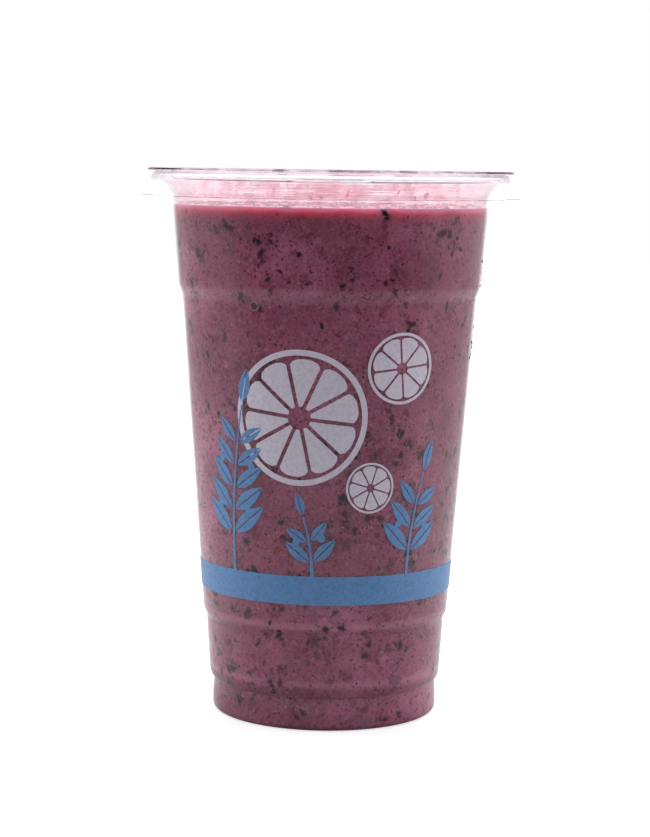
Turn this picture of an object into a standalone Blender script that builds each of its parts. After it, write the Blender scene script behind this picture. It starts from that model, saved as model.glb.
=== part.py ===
"""A clear plastic cup of acai smoothie, closed by a flat press-on lid.

The three pieces are turned about +Z: the cup, the drink inside it and the lid over its rim. Blender's unit is
the metre. The sizes below are in millimetres and are scaled as the meshes are made. The origin is on the cup's
axis, level with the face that the cup stands on.
"""

import math
from itertools import takewhile

import bmesh
import bpy

MM = 0.001

# Turned pieces
SEGMENTS = 64
SHARP_ANGLE = math.radians(50)

# Sheet thickness, and the clearance that pieces keep from each other
CUP_WALL = 0.6
LID_WALL = 0.4
GAP = 0.3

# Foot: a flat ring round a pushed-up base, below a stacking groove
BASE_RECESS = 1.2
RECESS_RADIUS = 23.0
FOOT_RING_INNER = 24.5
FOOT_RADIUS = 31.05
FOOT_CORNER = 1.6
FOOT_SIDE_TOP = 5.0
GROOVE_RADIUS = 30.75
GROOVE_HEIGHT = 8.8
SHOULDER_RADIUS = 32.1
SHOULDER_HEIGHT = 12.6

# Side wall: three tapered lengths joined by two steps that widen upwards
LOW_WALL_RADIUS = 33.05
LOW_STEP_BOTTOM = 26.0
LOW_STEP_TOP = 28.8
MAIN_WALL_RADIUS = 33.95
UPPER_STEP_BOTTOM = 114.0
UPPER_STEP_TOP = 118.8
MAIN_WALL_TOP_RADIUS = 40.35
UPPER_WALL_RADIUS = 41.6
NECK_RADIUS = 43.4
NECK_HEIGHT = 141.2

# Rim: the wall flares out and curls over to the outside. The radius and the top are the curl's outermost
CURL_RADIUS = 1.5
RIM_RADIUS = 49.0
RIM_TOP = 148.5
CURL_END_DROP = 0.8

# Drink
LEVEL = 139.7

# Lid: a panel sunk inside the rim, a ring over the rim, and a skirt with a flange at its foot
LID_TOP = 149.25
PANEL_TOP = 146.5
PANEL_RADIUS = 42.7
PLUG_RADIUS = 43.3
PLUG_FILLET = 0.6
LID_RADIUS = 50.0
LID_CORNER = 0.7
FLANGE_TOP = 142.15
FLANGE_RADIUS = 52.1
SKIRT_FILLET = 0.5
STRAW_DISC_RADIUS = 10.6
STRAW_DISC_FOOT = 11.8
STRAW_DISC_RISE = 1.2


def arc(centre_radius, centre_height, radius, start, end, steps):
    """Points of an arc in the outline's plane, its angles in degrees from straight out."""
    angles = [math.radians(start + (end - start) * i / steps) for i in range(steps + 1)]
    return [
        (centre_radius + radius * math.cos(a), centre_height + radius * math.sin(a))
        for a in angles
    ]


def ease(start, end, steps):
    """Points of a smooth step from start to end, upright at both ends."""
    points = []
    for i in range(steps + 1):
        share = i / steps
        swing = (1 - math.cos(math.pi * share)) / 2
        points.append((start[0] + (end[0] - start[0]) * swing, start[1] + (end[1] - start[1]) * share))
    return points


def shoulder(start, end, steps):
    """Points of a rounded shoulder that leaves start sideways and comes up to end upright."""
    points = []
    for i in range(steps + 1):
        turn = math.pi / 2 * i / steps
        points.append(
            (start[0] + (end[0] - start[0]) * math.sin(turn), end[1] + (start[1] - end[1]) * math.cos(turn))
        )
    return points


def inset(outline, distance):
    """The open outline moved to its left by distance, with mitred corners."""
    directions = []
    for (r0, z0), (r1, z1) in zip(outline, outline[1:]):
        length = math.hypot(r1 - r0, z1 - z0)
        directions.append(((r1 - r0) / length, (z1 - z0) / length))
    moved = []
    for i, (r, z) in enumerate(outline):
        before = directions[max(i - 1, 0)]
        after = directions[min(i, len(directions) - 1)]
        normal = (-(before[1] + after[1]), before[0] + after[0])
        length = math.hypot(*normal)
        # The mitre is longer than the distance by the cosine of half the corner
        cosine = (-before[1] * normal[0] + before[0] * normal[1]) / length
        reach = distance / cosine / length
        moved.append((r + normal[0] * reach, z + normal[1] * reach))
    # A point on the axis stays on it
    return [(0.0 if source[0] == 0.0 else r, z) for source, (r, z) in zip(outline, moved)]


def cup_outline():
    """The cup's outer side, from the middle of the base up the wall and round the inside of the rim's curl."""
    curl_centre = RIM_RADIUS - CURL_RADIUS
    curl_height = RIM_TOP - CURL_RADIUS
    curl_hollow = CURL_RADIUS - CUP_WALL
    return [
        (0.0, BASE_RECESS),
        (RECESS_RADIUS, BASE_RECESS),
        (FOOT_RING_INNER, 0.0),
        *arc(FOOT_RADIUS - FOOT_CORNER, FOOT_CORNER, FOOT_CORNER, -90, 0, 3),
        (FOOT_RADIUS, FOOT_SIDE_TOP),
        *shoulder((GROOVE_RADIUS, GROOVE_HEIGHT), (SHOULDER_RADIUS, SHOULDER_HEIGHT), 3),
        *ease((LOW_WALL_RADIUS, LOW_STEP_BOTTOM), (MAIN_WALL_RADIUS, LOW_STEP_TOP), 2),
        *ease((MAIN_WALL_TOP_RADIUS, UPPER_STEP_BOTTOM), (UPPER_WALL_RADIUS, UPPER_STEP_TOP), 3),
        *ease((NECK_RADIUS, NECK_HEIGHT), (curl_centre - curl_hollow, curl_height), 3),
        *arc(curl_centre, curl_height, curl_hollow, 180, 0, 4)[1:],
        (curl_centre + curl_hollow, curl_height - CURL_END_DROP),
    ]


def drink_outline():
    """The drink's side and top: the cup's inside, less the clearance, cut off at the level."""
    sunk = inset(cup_outline(), CUP_WALL + GAP)
    kept = list(takewhile(lambda point: point[1] < LEVEL, sunk))
    below = kept[-1]
    above = sunk[len(kept)]
    share = (LEVEL - below[1]) / (above[1] - below[1])
    return [*kept, (below[0] + (above[0] - below[0]) * share, LEVEL), (0.0, LEVEL)]


def lid_outline():
    """The lid's upper side, from the middle of the straw disc out to the edge of the flange."""
    corner = LID_RADIUS - LID_CORNER
    return [
        (0.0, PANEL_TOP + STRAW_DISC_RISE),
        (STRAW_DISC_RADIUS, PANEL_TOP + STRAW_DISC_RISE),
        (STRAW_DISC_FOOT, PANEL_TOP),
        (PANEL_RADIUS, PANEL_TOP),
        (PLUG_RADIUS, PANEL_TOP + PLUG_FILLET),
        (PLUG_RADIUS, LID_TOP - PLUG_FILLET),
        (PLUG_RADIUS + PLUG_FILLET, LID_TOP),
        *arc(corner, LID_TOP - LID_CORNER, LID_CORNER, 90, 0, 2),
        (LID_RADIUS, FLANGE_TOP + SKIRT_FILLET),
        (LID_RADIUS + SKIRT_FILLET, FLANGE_TOP),
        (FLANGE_RADIUS, FLANGE_TOP),
    ]


def shell(outline, thickness):
    """The closed outline of a sheet of even thickness with the given outline on one side."""
    return outline + inset(outline, thickness)[::-1]


def turned(name, outline, material):
    """A solid turned about +Z from an outline in millimetres that closes on itself or on the axis."""
    mesh = bpy.data.meshes.new(name)
    build = bmesh.new()
    corners = [build.verts.new((r * MM, 0.0, z * MM)) for r, z in outline]
    edges = [build.edges.new(pair) for pair in zip(corners, corners[1:])]
    if outline[-1][0] > 0.0 or outline[0][0] > 0.0:
        edges.append(build.edges.new((corners[-1], corners[0])))
    bmesh.ops.spin(
        build,
        geom=corners + edges,
        cent=(0, 0, 0),
        axis=(0, 0, 1),
        angle=math.tau,
        steps=SEGMENTS,
        use_merge=True,
    )
    bmesh.ops.remove_doubles(build, verts=build.verts, dist=1e-6)
    bmesh.ops.recalc_face_normals(build, faces=build.faces)
    build.to_mesh(mesh)
    build.free()
    mesh.shade_smooth()
    mesh.set_sharp_from_angle(angle=SHARP_ANGLE)
    mesh.materials.append(material)
    piece = bpy.data.objects.new(name, mesh)
    bpy.context.scene.collection.objects.link(piece)
    return piece


def finish(name, colour, roughness, transmission=0.0, refraction=1.5):
    """A Principled material. The colour is linear."""
    material = bpy.data.materials.new(name)
    material.use_nodes = True
    shader = material.node_tree.nodes["Principled BSDF"]
    shader.inputs["Base Color"].default_value = (*colour, 1.0)
    shader.inputs["Roughness"].default_value = roughness
    shader.inputs["Metallic"].default_value = 0.0
    shader.inputs["Transmission Weight"].default_value = transmission
    shader.inputs["IOR"].default_value = refraction
    material.diffuse_color = (*colour, 1.0 - 0.7 * transmission)
    return material


def main():
    for old in list(bpy.data.objects):
        bpy.data.objects.remove(old)
    plastic = finish("clear_plastic", (0.93, 0.95, 0.97), 0.06, transmission=1.0, refraction=1.57)
    blend = finish("acai_blend", (0.24, 0.085, 0.13), 0.35)
    turned("cup", shell(cup_outline(), CUP_WALL), plastic)
    turned("smoothie", drink_outline(), blend)
    turned("lid", shell(lid_outline(), -LID_WALL), plastic)


main()
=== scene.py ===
"""Looks of a clear plastic cup of acai smoothie with a flat press-on lid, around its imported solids.

Lengths are in millimetres up to the point where a mesh is made, and MM scales them. The camera stands in
front of the cup, towards -Y. Angles round the cup are measured from +X, so the front is at -90 degrees.
"""

import math
import random

import bmesh
import bpy
import numpy as np
from mathutils import Euler, Matrix, Vector, noise


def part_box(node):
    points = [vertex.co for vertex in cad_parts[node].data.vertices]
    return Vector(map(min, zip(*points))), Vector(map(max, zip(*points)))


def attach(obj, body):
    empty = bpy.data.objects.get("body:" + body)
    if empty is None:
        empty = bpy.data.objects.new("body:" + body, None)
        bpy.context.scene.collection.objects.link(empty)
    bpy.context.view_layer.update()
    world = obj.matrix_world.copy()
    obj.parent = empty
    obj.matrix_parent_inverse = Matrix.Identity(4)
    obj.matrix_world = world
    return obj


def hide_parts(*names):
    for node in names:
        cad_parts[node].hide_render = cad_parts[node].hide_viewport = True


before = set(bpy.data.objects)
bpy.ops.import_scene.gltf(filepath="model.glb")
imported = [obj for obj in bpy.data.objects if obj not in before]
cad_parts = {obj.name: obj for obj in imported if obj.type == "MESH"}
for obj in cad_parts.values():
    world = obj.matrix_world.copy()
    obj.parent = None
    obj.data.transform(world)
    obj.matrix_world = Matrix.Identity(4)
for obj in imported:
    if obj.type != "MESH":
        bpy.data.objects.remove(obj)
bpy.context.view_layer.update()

MM = 0.001
BODY = "root"
DRINK_SLOT = "acai_blend"
FRONT = -math.pi / 2

# Heights and radii that the solids give
CUP_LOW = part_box("cup")[0][2] / MM
RIM_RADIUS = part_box("cup")[1][0] / MM
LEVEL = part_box("smoothie")[1][2] / MM
LID_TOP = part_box("lid")[1][2] / MM
FLANGE_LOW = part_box("lid")[0][2] / MM
FLANGE_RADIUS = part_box("lid")[1][0] / MM

# The cup's outline, as its solid has it
CUP_WALL = 0.6
BASE_RECESS = 1.2
RECESS_RADIUS = 23.0
FOOT_RING_INNER = 24.5
FOOT_RADIUS = 31.05
FOOT_CORNER = 1.6
FOOT_SIDE_TOP = 5.0
GROOVE_RADIUS = 30.75
GROOVE_HEIGHT = 8.8
SHOULDER_RADIUS = 32.1
SHOULDER_HEIGHT = 12.6
LOW_WALL_RADIUS = 33.05
LOW_STEP_BOTTOM = 26.0
LOW_STEP_TOP = 28.8
MAIN_WALL_RADIUS = 33.95
UPPER_STEP_BOTTOM = 114.0
UPPER_STEP_TOP = 118.8
MAIN_WALL_TOP_RADIUS = 40.35
UPPER_WALL_RADIUS = 41.6
NECK_RADIUS = 43.4
NECK_HEIGHT = 141.2
CURL_RADIUS = 1.5
RIM_TOP = 148.5
CURL_END_DROP = 0.8

# The lid's outline
LID_WALL = 0.4
PANEL_TOP = 146.5
PANEL_RADIUS = 42.7
PLUG_RADIUS = 43.3
PLUG_FILLET = 0.6
LID_RADIUS = 50.0
LID_CORNER = 0.7
FLANGE_TOP = FLANGE_LOW + LID_WALL
SKIRT_FILLET = 0.5
FLANGE_EDGE = 0.12
PANEL_MARGIN = 0.5
FLANGE_MARGIN = 0.3
STRAW_DISC_RADIUS = 10.6
STRAW_DISC_FOOT = 11.8
STRAW_DISC_RISE = 1.2
SLIT_LENGTH = 15.0
SLIT_WIDTH = 0.25
SLIT_DEPTH = 2.0

# Turned pieces
SEGMENTS = 256
ARC_STEPS = 8
SHARP_ANGLE = math.radians(50)

# The drink reaches this far into the cup's wall, so that no air gap shows
DRINK_OVERLAP = 0.12

# Bits and films lie this far off what they lie on
LAID_OFF = 0.03

# Refractive indices. The lid's is low, because it would be drawn with black edges otherwise. A coat gives it
# the gloss of the real plastic
CUP_BENDING = 1.57
LID_BENDING = 1.04
LID_COAT = 0.4

# The drink's own index, for how it shines
WET_BENDING = 1.36

# Print
BAND_LOW = 34.9
BAND_HIGH = 42.7
PRINT_RADIUS = 38.0
INK_LIFT = 0.03

# Camera, fitted to the photograph
CAMERA_DISTANCE = 620.0
CAMERA_SIDE = -0.74
CAMERA_HEIGHT = 150.45
CAMERA_PITCH = 6.41
CAMERA_ROLL = 0.788
FOCAL_PIXELS = 2253.5
PHOTO_HEIGHT = 837
SENSOR_HEIGHT = 24.0

# Soft white surroundings: how bright they are by how far a direction points away from the camera, -1 to 1.
# The dark end stands for the room behind the camera, which the middle of the cup mirrors
SURROUNDINGS = (
    (-1.0, 0.02), (-0.8, 0.12), (-0.3, 0.95), (0.05, 1.35), (0.4, 1.2), (0.85, 0.75), (0.97, 1.35)
)
OVERHEAD_GAIN = 1.7

# What clear pieces let through is at least this bright, so that the lid isn't dark from behind either
SEEN_THROUGH = 0.8

# The table: a white disc, which looks white to the camera all over. It is brightest near the cup. On the
# camera's side it is dimmer and fades, so that the middle of the cup mirrors little of it
FLOOR_RADIUS = 3000.0
FLOOR_NEAR = 130.0
FLOOR_FAR = 750.0


# Outlines, as lists of (radius, height)


def arc(centre_radius, centre_height, radius, start, end, steps=ARC_STEPS):
    """Points of an arc in the outline's plane, its angles in degrees from straight out."""
    angles = [math.radians(start + (end - start) * i / steps) for i in range(steps + 1)]
    return [(centre_radius + radius * math.cos(a), centre_height + radius * math.sin(a)) for a in angles]


def ease(start, end, steps=ARC_STEPS):
    """Points of a smooth step from start to end, upright at both ends."""
    points = []
    for i in range(steps + 1):
        share = i / steps
        swing = (1 - math.cos(math.pi * share)) / 2
        points.append((start[0] + (end[0] - start[0]) * swing, start[1] + (end[1] - start[1]) * share))
    return points


def shoulder(start, end, steps=ARC_STEPS):
    """Points of a rounded shoulder that leaves start sideways and comes up to end upright."""
    points = []
    for i in range(steps + 1):
        turn = math.pi / 2 * i / steps
        across = start[0] + (end[0] - start[0]) * math.sin(turn)
        points.append((across, end[1] + (start[1] - end[1]) * math.cos(turn)))
    return points


def inset(outline, distance):
    """The open outline moved to its left by distance, with mitred corners."""
    directions = []
    for (r0, z0), (r1, z1) in zip(outline, outline[1:]):
        length = math.hypot(r1 - r0, z1 - z0)
        directions.append(((r1 - r0) / length, (z1 - z0) / length))
    moved = []
    for i, (r, z) in enumerate(outline):
        before = directions[max(i - 1, 0)]
        after = directions[min(i, len(directions) - 1)]
        normal = (-(before[1] + after[1]), before[0] + after[0])
        length = math.hypot(*normal)
        cosine = (-before[1] * normal[0] + before[0] * normal[1]) / length
        reach = distance / cosine / length
        moved.append((r + normal[0] * reach, z + normal[1] * reach))
    return [(0.0 if source[0] == 0.0 else r, z) for source, (r, z) in zip(outline, moved)]


def cup_outline():
    """The cup's outer side, from the middle of the base up the wall and round the inside of the curl."""
    curl_centre = RIM_RADIUS - CURL_RADIUS
    curl_height = RIM_TOP - CURL_RADIUS
    curl_hollow = CURL_RADIUS - CUP_WALL
    return [
        (0.0, BASE_RECESS),
        (RECESS_RADIUS, BASE_RECESS),
        (FOOT_RING_INNER, 0.0),
        *arc(FOOT_RADIUS - FOOT_CORNER, FOOT_CORNER, FOOT_CORNER, -90, 0),
        (FOOT_RADIUS, FOOT_SIDE_TOP),
        *shoulder((GROOVE_RADIUS, GROOVE_HEIGHT), (SHOULDER_RADIUS, SHOULDER_HEIGHT)),
        *ease((LOW_WALL_RADIUS, LOW_STEP_BOTTOM), (MAIN_WALL_RADIUS, LOW_STEP_TOP)),
        *ease((MAIN_WALL_TOP_RADIUS, UPPER_STEP_BOTTOM), (UPPER_WALL_RADIUS, UPPER_STEP_TOP)),
        *ease((NECK_RADIUS, NECK_HEIGHT), (curl_centre - curl_hollow, curl_height)),
        *arc(curl_centre, curl_height, curl_hollow, 180, 0, 2 * ARC_STEPS)[1:],
        (curl_centre + curl_hollow, curl_height - CURL_END_DROP),
    ]


def lid_outline():
    """The lid's upper side, from the middle of the straw disc out to the edge of the flange.

    The points at the margins keep the flat panel and flange from being shaded as part of the fillets.
    """
    corner = LID_RADIUS - LID_CORNER
    return [
        (0.0, PANEL_TOP + STRAW_DISC_RISE),
        (STRAW_DISC_RADIUS, PANEL_TOP + STRAW_DISC_RISE),
        (STRAW_DISC_FOOT, PANEL_TOP),
        (STRAW_DISC_FOOT + PANEL_MARGIN, PANEL_TOP),
        (PANEL_RADIUS - PANEL_MARGIN, PANEL_TOP),
        *arc(PANEL_RADIUS, PANEL_TOP + PLUG_FILLET, PLUG_FILLET, -90, 0),
        *arc(PLUG_RADIUS + PLUG_FILLET, LID_TOP - PLUG_FILLET, PLUG_FILLET, 180, 90),
        *arc(corner, LID_TOP - LID_CORNER, LID_CORNER, 90, 0),
        *arc(LID_RADIUS + SKIRT_FILLET, FLANGE_TOP + SKIRT_FILLET, SKIRT_FILLET, 180, 270),
        (FLANGE_RADIUS - FLANGE_MARGIN, FLANGE_TOP),
        (FLANGE_RADIUS, FLANGE_TOP),
    ]


def shell(outline, thickness):
    """The closed outline of a sheet of even thickness with the given outline on one side."""
    return outline + inset(outline, thickness)[::-1]


def lid_shell():
    """The lid's closed outline. Its flange thins towards the edge, or it would be drawn as a black line."""
    upper = lid_outline()
    closed = shell(upper, -LID_WALL)
    closed[len(upper)] = (FLANGE_RADIUS, FLANGE_TOP - FLANGE_EDGE)
    # The flange's underside runs straight from the fillet to the edge
    del closed[len(upper) + 1]
    return closed


def stretch_between(outline, low, high):
    """The side of an outline between two heights, climbing from low to high."""
    side = [point for point in outline if point[0] > RECESS_RADIUS]
    top = side.index(max(side, key=lambda point: point[1]))
    radii = [r for r, _ in side[: top + 1]]
    heights = [z for _, z in side[: top + 1]]
    inner = [(r, z) for r, z in side[: top + 1] if low < z < high]
    ends = [(float(np.interp(z, heights, radii)), z) for z in (low, high)]
    return [ends[0], *inner, ends[1]]


class Profile:
    """An open outline measured along its length, on which things are laid once it is turned about +Z."""

    def __init__(self, points):
        self.radii = np.array([r for r, _ in points])
        self.heights = np.array([z for _, z in points])
        steps = np.hypot(np.diff(self.radii), np.diff(self.heights))
        self.marks = np.concatenate([[0.0], np.cumsum(steps)])
        self.length = float(self.marks[-1])

    def at(self, distance):
        """Radius and height at a distance along the outline."""
        return np.interp(distance, self.marks, self.radii), np.interp(distance, self.marks, self.heights)

    def reach(self, height):
        """How far along a climbing outline a height comes."""
        return float(np.interp(height, self.heights, self.marks))

    def turn_in_front(self, across, distance):
        """The angle of the place in front that lies so far to the right of the axis."""
        return FRONT + math.asin(across / float(self.at(distance)[0]))

    def place(self, turn, distance, lift):
        """Points at an angle round the axis and a distance along, lifted to the outline's right."""
        radius, height = self.at(distance)
        ahead, behind = self.at(np.asarray(distance) + 0.2), self.at(np.asarray(distance) - 0.2)
        out, down = ahead[1] - behind[1], ahead[0] - behind[0]
        size = np.maximum(np.hypot(out, down), 1e-9)
        radius = radius + lift * out / size
        height = height - lift * down / size
        return np.stack(np.broadcast_arrays(radius * np.cos(turn), radius * np.sin(turn), height), -1)


CUP_OUTSIDE = cup_outline()
CUP_INSIDE = inset(CUP_OUTSIDE, CUP_WALL)
DRINK_OUTLINE = inset(CUP_OUTSIDE, CUP_WALL - DRINK_OVERLAP)
WALL = Profile(stretch_between(CUP_OUTSIDE, 0.5, NECK_HEIGHT))
DRINK_SIDE = Profile(stretch_between(DRINK_OUTLINE, 2.0, LEVEL))
NECK_INSIDE = Profile(stretch_between(CUP_INSIDE, LEVEL + 0.2, RIM_TOP))
DRINK_TOP = Profile([(DRINK_SIDE.radii[-1], LEVEL), (0.5, LEVEL)])
PANEL_LOW = PANEL_TOP - LID_WALL
PANEL_UNDERSIDE = Profile([(STRAW_DISC_FOOT + 0.6, PANEL_LOW), (PANEL_RADIUS, PANEL_LOW)])


def noise_at(points, scale, seed=0.0):
    """Smooth noise, about -1 to 1, at an array of points in millimetres."""
    moved = np.asarray(points, dtype=float) * scale + seed
    return np.array([noise.noise(point) for point in moved.reshape(-1, 3)]).reshape(moved.shape[:-1])


def waves(points, *layers):
    """A sum of noises at points. Each layer is its strength, its scale and its seed."""
    return sum(strength * noise_at(points, scale, seed) for strength, scale, seed in layers)


# Meshes


def piece_from(name, vertices, faces, material, slot, tones=None):
    """A smooth-shaded piece that rides on the cup, from vertices in millimetres, with colours if given."""
    mesh = bpy.data.meshes.new(name)
    mesh.from_pydata(np.asarray(vertices, dtype=float) * MM, [], faces)
    if tones is not None:
        layer = mesh.color_attributes.new("tone", "FLOAT_COLOR", "POINT")
        layer.data.foreach_set("color", np.asarray(tones, dtype=np.float32).ravel())
    mesh.validate()
    mesh.shade_smooth()
    mesh.set_sharp_from_angle(angle=SHARP_ANGLE)
    mesh.materials.append(material)
    piece = bpy.data.objects.new(name, mesh)
    bpy.context.scene.collection.objects.link(piece)
    if slot:
        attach(piece, BODY)
    return piece


def point_outwards(piece):
    """Turns the faces of a closed piece outwards."""
    build = bmesh.new()
    build.from_mesh(piece.data)
    bmesh.ops.recalc_face_normals(build, faces=build.faces)
    build.to_mesh(piece.data)
    build.free()


def lathe(name, outline, material, slot, closed=True, relief=None):
    """A turned piece. relief, if given, takes radius, height and angle arrays and returns a new height."""
    turns = np.arange(SEGMENTS) * math.tau / SEGMENTS
    rings, vertices, count = [], [], 0
    for r, z in outline:
        if r == 0.0:
            rings.append([count] * SEGMENTS)
            vertices.append([[0.0, 0.0, z]])
            count += 1
            continue
        height = np.full(SEGMENTS, z) if relief is None else relief(r, z, turns)
        vertices.append(np.stack([r * np.cos(turns), r * np.sin(turns), height], 1))
        rings.append(list(range(count, count + SEGMENTS)))
        count += SEGMENTS
    pairs = list(zip(rings, rings[1:]))
    if closed and (outline[0][0] > 0.0 or outline[-1][0] > 0.0):
        pairs.append((rings[-1], rings[0]))
    faces = []
    for low, high in pairs:
        for i in range(SEGMENTS):
            j = (i + 1) % SEGMENTS
            corners = list(dict.fromkeys([low[i], low[j], high[j], high[i]]))
            if len(corners) > 2:
                faces.append(corners)
    piece = piece_from(name, np.concatenate(vertices), faces, material, slot)
    point_outwards(piece)
    return piece


def clipped_sheet(name, profile, cell, field, lift, material):
    """A sheet laid round a profile, kept where field(points, turn, distance) is above zero."""
    rows = max(2, round(profile.length / cell))
    columns = round(math.tau * float(profile.radii.max()) / cell)
    distance, turn = np.meshgrid(
        np.linspace(0.0, profile.length, rows + 1), np.arange(columns) * math.tau / columns, indexing="ij"
    )
    grid = profile.place(turn, distance, lift)
    points = list(grid.reshape(-1, 3))
    values = list(field(grid, turn, distance).ravel())
    cuts = {}

    def cut(a, b):
        key = (min(a, b), max(a, b))
        if key not in cuts:
            share = values[a] / (values[a] - values[b])
            cuts[key] = len(points)
            points.append(points[a] * (1 - share) + points[b] * share)
        return cuts[key]

    faces = []
    for row in range(rows):
        for column in range(columns):
            beside = (column + 1) % columns
            low = row * columns
            high = low + columns
            square = (low + column, low + beside, high + beside, high + column)
            if max(values[corner] for corner in square) <= 0:
                continue
            for triangle in (square[:3], (square[0], square[2], square[3])):
                polygon = []
                for a, b in zip(triangle, triangle[1:] + triangle[:1]):
                    if values[a] > 0:
                        polygon.append(a)
                    if (values[a] > 0) != (values[b] > 0):
                        polygon.append(cut(a, b))
                if len(polygon) > 2:
                    faces.append(polygon)
    used = sorted({corner for face in faces for corner in face})
    order = {corner: i for i, corner in enumerate(used)}
    faces = [[order[corner] for corner in face] for face in faces]
    return piece_from(name, [points[i] for i in used], faces, material, DRINK_SLOT)


# Materials

WHITE = (1.0, 1.0, 1.0)


def new_material(name):
    """A material with its node tree and Principled shader."""
    material = bpy.data.materials.new(name)
    material.use_nodes = True
    tree = material.node_tree
    return material, tree, tree.nodes["Principled BSDF"]


def plug(tree, socket, value):
    """Gives a socket another node's output, or a number, vector or colour."""
    if isinstance(value, bpy.types.NodeSocket):
        tree.links.new(value, socket)
    elif socket.type == "RGBA":
        socket.default_value = (*value, 1.0)
    else:
        socket.default_value = value


def feed(tree, node, inputs):
    """Gives several sockets, by name or place, their values."""
    for key, value in inputs.items():
        plug(tree, node.inputs[key], value)


def add(tree, kind, inputs=None, **settings):
    """A new node with its properties and inputs set."""
    node = tree.nodes.new(kind)
    for key, value in settings.items():
        setattr(node, key, value)
    feed(tree, node, inputs or {})
    return node


def noise_texture(tree, where, scale, detail=2.0, roughness=0.5):
    """The value of a noise texture at so many features to the metre."""
    inputs = {"Vector": where, "Scale": scale, "Detail": detail, "Roughness": roughness}
    return add(tree, "ShaderNodeTexNoise", inputs).outputs["Fac"]


def ramp(tree, value, *stops):
    """A colour ramp's output. stops are (place, colour)."""
    node = add(tree, "ShaderNodeValToRGB", {"Fac": value})
    node.color_ramp.interpolation = "EASE"
    elements = node.color_ramp.elements
    # The last stop moves first, and the others are made where they belong, so that none changes places
    elements[-1].position = stops[-1][0]
    elements[0].position = stops[0][0]
    for place, _ in stops[1:-1]:
        elements.new(place)
    for element, (_, colour) in zip(elements, stops):
        element.color = (*colour, 1.0)
    return node.outputs["Color"]


def map_range(tree, value, low, high, to_low=0.0, to_high=1.0, smooth=True):
    """A value moved from one range to another, clamped, and eased at both ends unless told otherwise."""
    inputs = {"Value": value, "From Min": low, "From Max": high, "To Min": to_low, "To Max": to_high}
    easing = "SMOOTHSTEP" if smooth else "LINEAR"
    return add(tree, "ShaderNodeMapRange", inputs, interpolation_type=easing).outputs["Result"]


def up_from_level(tree, height, low, high, share=1.0):
    """0 below and share above two heights, which are counted in millimetres from the drink's level."""
    return map_range(tree, height, (LEVEL + low) * MM, (LEVEL + high) * MM, 0.0, share)


def reckon(tree, operation, first, second):
    """The outcome of a sum on two values, each an output or a number."""
    return add(tree, "ShaderNodeMath", {0: first, 1: second}, operation=operation).outputs["Value"]


def times(tree, first, second):
    """The product of two values, each an output or a number."""
    return reckon(tree, "MULTIPLY", first, second)


def vector_math(tree, operation, *vectors):
    """The node for a sum on vectors."""
    return add(tree, "ShaderNodeVectorMath", dict(enumerate(vectors)), operation=operation)


def parts_of(tree, vector):
    """A vector's parts, as outputs named X, Y and Z."""
    return add(tree, "ShaderNodeSeparateXYZ", {"Vector": vector}).outputs


def mix_colour(tree, factor, first, second, blend="MIX"):
    """A mix of two colours, each an output or three numbers. factor is an output or a number."""
    node = add(tree, "ShaderNodeMix", data_type="RGBA", blend_type=blend)
    sockets = [socket for socket in node.inputs if socket.enabled]
    for socket, value in zip(sockets, (factor, first, second)):
        plug(tree, socket, value)
    return next(socket for socket in node.outputs if socket.enabled)


def bump(tree, height, distance):
    """A bump node's normal."""
    return add(tree, "ShaderNodeBump", {"Height": height, "Distance": distance}).outputs["Normal"]


def object_coordinate(tree):
    """The piece's own coordinates, in metres."""
    return add(tree, "ShaderNodeTexCoord").outputs["Object"]


def ragged(tree, where, scale, reach):
    """A coordinate shaken by noise, so that what is laid on it comes out ragged. reach is in metres."""
    shake = add(tree, "ShaderNodeTexNoise", {"Vector": where, "Scale": scale}).outputs["Color"]
    return vector_math(tree, "MULTIPLY_ADD", shake, (reach,) * 3, where).outputs["Vector"]


def specks(tree, where, cells, size, share, clump):
    """A mask of specks: one in some cells of a Voronoi texture, size being a share of the cell.

    They are thinned out where the clump value is low.
    """
    node = add(tree, "ShaderNodeTexVoronoi", {"Vector": where, "Scale": cells})
    picked = add(tree, "ShaderNodeSeparateColor", {"Color": node.outputs["Color"]}).outputs
    sizes = map_range(tree, picked["Green"], 0.0, 1.0, size * 0.4, size)
    near = map_range(tree, reckon(tree, "DIVIDE", node.outputs["Distance"], sizes), 1.0, 0.35)
    chosen = map_range(tree, picked["Red"], 1 - share, 1 - share * 0.9)
    return times(tree, times(tree, near, chosen), clump)


# Looks of the blend. Noise is given by its scale, detail and roughness, and by the values where a layer
# starts and is full. Then come the layer's share and its colour
CLOUDS = ((0.32, (0.44, 0.112, 0.205)), (0.5, (0.61, 0.168, 0.305)), (0.68, (0.84, 0.290, 0.480)))
NOISE_LAYERS = (
    ((190.0, 3.0, 0.55), (0.55, 0.74), 0.6, (0.27, 0.12, 0.20)),
    ((270.0, 4.0, 0.6), (0.56, 0.74), 0.65, (0.90, 0.38, 0.55)),
    ((330.0, 4.0, 0.65), (0.52, 0.72), 0.8, (0.38, 0.048, 0.090)),
    ((1300.0, 2.0, 0.6), (0.48, 0.27), 0.7, (0.20, 0.045, 0.08)),
    ((1300.0, 2.0, 0.6), (0.55, 0.75), 0.55, (0.90, 0.44, 0.60)),
)

# Specks: cells to the metre, size and share of the cells, then strength and colour
SPECK_LAYERS = (
    ((620.0, 0.40, 0.40), 0.85, (0.21, 0.014, 0.032)),
    ((1400.0, 0.45, 0.34), 0.9, (0.15, 0.014, 0.034)),
    ((950.0, 0.44, 0.20), 1.0, (0.095, 0.014, 0.030)),
)

# Painted light in rings round the cup, by their heights, share and colour: painted highlights on the bulges
# over the shoulder and the low step, and painted shade in the groove
RING_FADE = 0.6
PAINTED_LIGHT_RINGS = (
    (12.1, 13.6, 0.5, (0.95, 0.42, 0.60)),
    (27.9, 29.7, 0.45, (0.95, 0.42, 0.60)),
    (9.3, 11.2, 0.35, (0.22, 0.045, 0.08)),
)
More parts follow.
